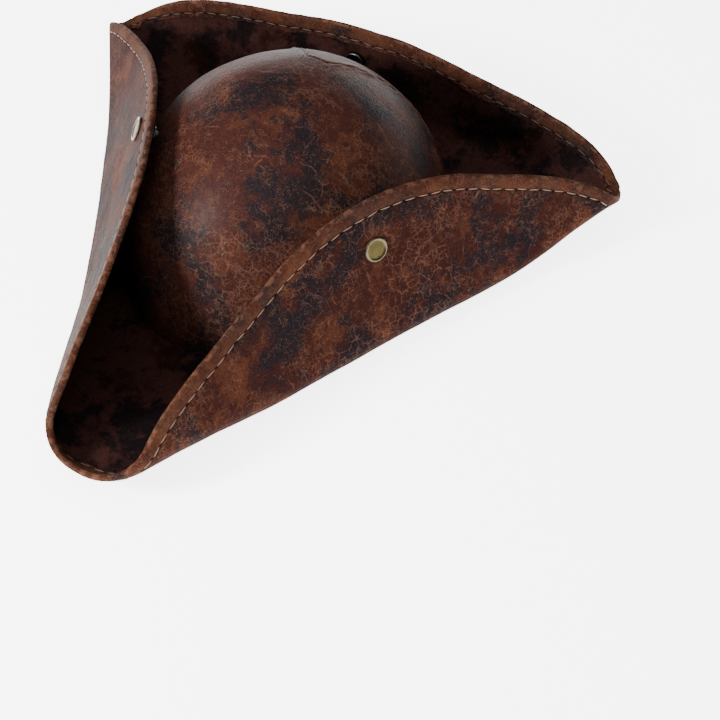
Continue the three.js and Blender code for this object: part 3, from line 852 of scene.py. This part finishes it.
class HAT_OT_stitching(bpy.types.Operator):
    """Sews the hem: a row of stitches on both faces of each side"""

    bl_idname = "hat.stitching"
    bl_label = "Hem stitching"

    def execute(self, context):
        sizes, colours, _ = settings()
        thread = plain_finish("waxed_thread", colours.thread, 0.6, scale=1800, relief=0.4)
        # The stitches on the inner faces are the same thread painted at 0.3 of its colour: painted shade.
        shade = [share * 0.3 for share in colours.thread]
        painted_shade_thread = plain_finish("waxed_thread_inside", shade, 0.6, scale=1800)
        for name, flap in FLAPS.items():
            outside = stitch_mesh(stitch_line(flap, -1.3 * MM, sizes), sizes)
            piece = add_piece(f"hem_stitches_{name}", outside, thread)
            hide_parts(f"hem_stitch_{name}")
            bend_with(piece)
            inside = stitch_mesh(stitch_line(flap, 1.93 * MM, sizes, inner=True), sizes)
            bend_with(add_piece(f"hem_stitches_inside_{name}", inside, painted_shade_thread))
        return {"FINISHED"}


# ---------------------------------------------------------------- the crown
def slant(theta):
    """Sine of the angle between the seam and the meridian it crosses."""
    steps = (-0.01, 0.01)
    rise = seam_rise(theta)
    before, after = (crown_point(theta + step, seam_rise(theta + step), 0) for step in steps)
    below, above = (crown_point(theta, rise + step, 0) for step in steps)
    along = (after - before).normalized()
    up = (above - below).normalized()
    return max(along.cross(up).length, 0.2)


def seam_distance(theta, p, inset):
    """Distance of a point of the crown from the middle of the seam, square to the seam."""
    return (p - crown_point(theta, seam_rise(theta), inset)).length * slant(theta)


def seam_relief(theta, from_seam):
    """Height of the gathered leather beside the seam: rolled in at the seam, puffed beside it."""
    calm = 0.3 + 0.7 * smooth((abs(theta - math.pi / 2) - 0.15) / 0.5)
    gathers = 0.55 + 0.45 * math.sin(theta * 58) * math.sin(theta * 23 + 1)
    puff = SEAM_PUFF * calm * gathers * math.exp(-((from_seam / SEAM_PUFF_REACH) ** 2))
    roll = SEAM_ROLL * calm * math.exp(-((from_seam / SEAM_ROLL_REACH) ** 2))
    return puff - roll


class HAT_OT_crown(bpy.types.Operator):
    """Makes the crown: front panel, back band, the welt in their seam, lining and sweatband"""

    bl_idname = "hat.crown"
    bl_label = "Crown"

    def execute(self, context):
        sizes, colours, _ = settings()
        # The crown uses the brim's mahogany painted 1.35 times lighter, with its patches and veins 1.15
        # times stronger: painted light on the same leather as the brim.
        painted_light_ground = [share * 1.35 for share in colours.mahogany]
        leather = distressed_leather(
            "crown_leather", painted_light_ground, 1.15, 4.5 * MM, stitched=False, polish=0.075
        )
        self.make_panel(leather, sizes)
        self.make_band(leather, sizes)
        self.make_welt(leather, sizes)
        self.make_lining(colours)
        self.make_sweatband(sizes, colours)
        return {"FINISHED"}

    def make_panel(self, leather, sizes):
        """The leather of the front and top, whose lower edge follows the seam."""
        half = sizes.leather / 2

        def place(along, row):
            theta = 2 * math.pi * along
            seam = seam_rise(theta)
            start = max(CROWN_FOOT, seam + SEAM_GAP)
            rise = rise_at(row, start)
            bare = crown_point(theta, rise, half)
            relief = 0.9 * ripple(bare)
            if seam < CROWN_FOOT:
                return crown_point(theta, rise, half - relief), 1.0
            edge = seam_distance(theta, bare, half)
            return crown_point(theta, rise, half - relief - seam_relief(theta, edge)), edge

        panel = sheet_mesh(spaced(60, 1.5), 420, place)
        piece = add_piece("crown_front_panel_leather", panel, leather, ROOT)
        thicken(piece, sizes.leather)
        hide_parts("crown_front_panel")

    def make_band(self, leather, sizes):
        """The leather round the back and sides, under the seam."""
        ends = seam_ends()
        half = sizes.leather / 2

        def place(along, row):
            theta = ends[0] + (ends[1] - ends[0]) * along
            top = max(seam_rise(theta) - SEAM_GAP, CROWN_FOOT + 0.004)
            rise = CROWN_FOOT + (top - CROWN_FOOT) * (1 - row)
            bare = crown_point(theta, rise, half)
            edge = seam_distance(theta, bare, half)
            relief = 0.9 * ripple(bare) + 0.8 * seam_relief(theta, edge)
            return crown_point(theta, rise, half - relief), edge

        band = sheet_mesh(spaced(44, 1.6), 320, place)
        piece = add_piece("crown_back_band_leather", band, leather, ROOT)
        thicken(piece, sizes.leather)
        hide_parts("crown_back_band")

    def make_welt(self, leather, sizes):
        """The cord in the seam."""
        ends = seam_ends()
        line = []
        count = 260
        for i in range(count + 1):
            theta = ends[0] + (ends[1] - ends[0]) * i / count
            line.append(crown_point(theta, seam_rise(theta), WELT_INSET))
        cord = tube_mesh(line, sizes.welt, 8)
        piece = add_piece("crown_seam_cord", cord, leather, ROOT)
        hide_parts("crown_seam_welt")

    def make_lining(self, colours):
        """The woven lining, a dome of its own inside the leather."""

        def place(along, row):
            theta = 2 * math.pi * along
            rise = rise_at(row, CROWN_FOOT)
            return crown_point(theta, rise, LINING_INSET), 1.0

        cloth = woven_finish("cotton_lining", colours.lining)
        piece = add_piece("lining_cloth", sheet_mesh(spaced(36), 140, place), cloth, ROOT)
        thicken(piece, LINING_THICKNESS)
        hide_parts("crown_lining")

    def make_sweatband(self, sizes, colours):
        """The band that touches the head, and the row of stitches that holds it."""

        def place(along, row):
            theta = 2 * math.pi * along
            height = SWEATBAND_FOOT + sizes.sweatband * row
            roll = 1.3 * MM * math.exp(-((1 - row) * 14)) - 2.2 * MM * math.exp(-row * 9)
            wave = 0.5 * MM * math.sin(theta * 7 + 1) * row
            return crown_point(theta, height / CROWN_H, SWEATBAND_INSET + roll + wave), 1.0

        leather = plain_finish("sweatband_leather", colours.sweatband, 0.6, scale=500, relief=0.35)
        strip = sheet_mesh(spaced(22), 160, place)
        piece = add_piece("sweatband_strip", strip, leather, ROOT)
        thicken(piece, SWEATBAND_THICKNESS)
        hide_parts("sweatband")
        line = []
        for i in range(LINE_STEPS + 1):
            theta = 2 * math.pi * i / LINE_STEPS
            p = crown_point(theta, (SWEATBAND_FOOT + 5 * MM) / CROWN_H, SWEATBAND_INSET + 0.05 * MM)
            inward = Vector((-p.x, CROWN_Y - p.y, 0)).normalized()
            line.append((p + inward * 0.2 * MM, inward))
        thread = plain_finish("sweatband_thread", colours.sewing, 0.7, scale=1800, relief=0.4)
        add_piece("sweatband_stitches", stitch_mesh(line, sizes), thread, ROOT)


def seam_ends():
    """The two angles at which the crown's seam runs out at the foot."""
    first = math.radians(-80)
    while seam_rise(first) < CROWN_FOOT + 0.02:
        first += math.radians(0.5)
    return first, math.pi - first


# ---------------------------------------------------------------- snaps
class HAT_OT_snaps(bpy.types.Operator):
    """Makes the snap fasteners' caps and sockets and gives the part's studs their nickel finish"""

    bl_idname = "hat.snaps"
    bl_label = "Snaps"

    def execute(self, context):
        _, colours, _ = settings()
        brass = brass_finish("antique_brass", colours.brass, colours.worn_brass)
        nickel = plain_finish("satin_nickel", colours.nickel, 0.3, 1.0, scale=800, relief=0.08)
        seat = -SNAP_SEAT / MM
        cap = [(0, seat - 0.85), (2.6, seat - 0.8), (4.7, seat - 0.6), (5.1, seat - 0.65)]
        cap += arc(0.75, (6.05, seat - 0.45), 235, 370, 9)
        cap += [(6.5, seat + 0.3), (6.0, seat + 0.45), (2.0, seat + 0.45), (2.0, 1.2), (0, 1.2)]
        seat = SNAP_SEAT / MM
        socket = [(0, seat - 0.4), (6.2, seat - 0.4), (6.2, seat + 1.2)]
        socket += arc(0.8, (5.4, seat + 1.9), 0, 180, 8)
        socket += [(3.6, seat + 1.9), (3.3, seat + 1.0), (0, seat + 0.9)]
        for name, flap in FLAPS.items():
            origin, axis = flap.snap_seat()
            turned = turned_mesh(cap, origin, axis, 64, 6.6 * MM)
            piece = add_piece(f"snap_{name}_cap", turned, brass, flap.body)
            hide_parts(f"snap_cap_{name}")
            turned = turned_mesh(socket, origin, axis)
            piece = add_piece(f"snap_{name}_socket", turned, nickel, flap.body)
            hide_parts(f"snap_socket_{name}")
            stud = frame["nodes"][f"snap_stud_{name}"]
            stud.data.materials.clear()
            stud.data.materials.append(nickel)
        return {"FINISHED"}


# ---------------------------------------------------------------- stage
class HAT_OT_stage(bpy.types.Operator):
    """Sets the floor, the soft lights and the camera"""

    bl_idname = "hat.stage"
    bl_label = "Stage"

    def execute(self, context):
        _, colours, stage = settings()
        self.make_floor(colours, stage)
        self.make_lights(stage)
        self.make_camera(stage)
        return {"FINISHED"}

    def make_floor(self, colours, stage):
        """A plain pale floor, lit from behind."""
        paint = Finish("pale_floor")
        paint.set(Base_Color=colours.floor, Roughness=0.85, Specular_IOR_Level=0.0)
        paint.set(Emission_Color=(1.0, 1.0, 1.0), Emission_Strength=stage.glow)
        bm = bmesh.new()
        bmesh.ops.create_grid(bm, x_segments=1, y_segments=1, size=6)
        add_piece("floor", bm, paint.material)

    def make_lights(self, stage):
        """A key light at the side, a wide light overhead and an even sky."""
        target = SHIFT + Vector((0, -0.02, 0.04))
        for name, power, size, azimuth, elevation, reach in (
            ("key", stage.key, 0.26, -36, 33, 1.3),
            ("top", stage.top, 1.6, 10, 82, 1.5),
        ):
            lamp = bpy.data.lights.new(name, "AREA")
            lamp.shape = "SQUARE"
            lamp.size = size
            lamp.energy = power
            light = bpy.data.objects.new(name, lamp)
            bpy.context.collection.objects.link(light)
            back = direction_from(azimuth, elevation)
            light.location = target + back * reach
            light.rotation_euler = back.to_track_quat("Z", "Y").to_euler()
        world = bpy.data.worlds.new("studio")
        world.use_nodes = True
        sky = world.node_tree.nodes["Background"]
        sky.inputs["Color"].default_value = (1.0, 1.0, 1.0, 1)
        sky.inputs["Strength"].default_value = stage.sky
        bpy.context.scene.world = world

    def make_camera(self, stage):
        """The camera, which looks down at the hat's front and left side."""
        lens = bpy.data.cameras.new("camera")
        lens.lens = stage.lens
        lens.sensor_width = 36
        lens.clip_start = 0.05
        camera = bpy.data.objects.new("camera", lens)
        bpy.context.collection.objects.link(camera)
        back = direction_from(stage.azimuth, stage.elevation)
        turn = math.radians(stage.azimuth)
        right = Vector((math.cos(turn), math.sin(turn), 0))
        up = back.cross(right)
        camera.location = SHIFT + right * stage.aim_right - up * stage.aim_down + back * stage.distance
        camera.rotation_euler = Matrix((right, up, back)).transposed().to_euler()
        bpy.context.scene.camera = camera


def direction_from(azimuth, elevation):
    """Unit vector towards an azimuth from the front and an elevation, in degrees."""
    a, e = math.radians(azimuth), math.radians(elevation)
    return Vector((math.sin(a) * math.cos(e), -math.cos(a) * math.cos(e), math.sin(e)))


# ---------------------------------------------------------------- add-on
class HAT_PT_panel(bpy.types.Panel):
    """Lists the hat's pieces, sizes and colours in the sidebar"""

    bl_idname = "HAT_PT_panel"
    bl_label = "Three-cornered hat"
    bl_space_type = "VIEW_3D"
    bl_region_type = "UI"
    bl_category = "Hat"

    def draw(self, context):
        for operator in OPERATORS:
            self.layout.operator(operator.bl_idname)
        for group in settings():
            for prop in group.bl_rna.properties:
                if not prop.is_readonly and prop.identifier != "name":
                    self.layout.prop(group, prop.identifier)


OPERATORS = (HAT_OT_brim, HAT_OT_stitching, HAT_OT_crown, HAT_OT_snaps, HAT_OT_stage)
CLASSES = (HatSizes, HatColours, HatStage, *OPERATORS, HAT_PT_panel)


def register():
    for cls in CLASSES:
        bpy.utils.register_class(cls)
    bpy.types.Scene.hat_sizes = PointerProperty(type=HatSizes)
    bpy.types.Scene.hat_colours = PointerProperty(type=HatColours)
    bpy.types.Scene.hat_stage = PointerProperty(type=HatStage)


def unregister():
    del bpy.types.Scene.hat_stage
    del bpy.types.Scene.hat_colours
    del bpy.types.Scene.hat_sizes
    for cls in reversed(CLASSES):
        bpy.utils.unregister_class(cls)


def main():
    """Builds every piece."""
    register()
    bpy.ops.hat.brim()
    bpy.ops.hat.stitching()
    bpy.ops.hat.crown()
    bpy.ops.hat.snaps()
    bpy.ops.hat.stage()


if __name__ == "__main__":
    main()
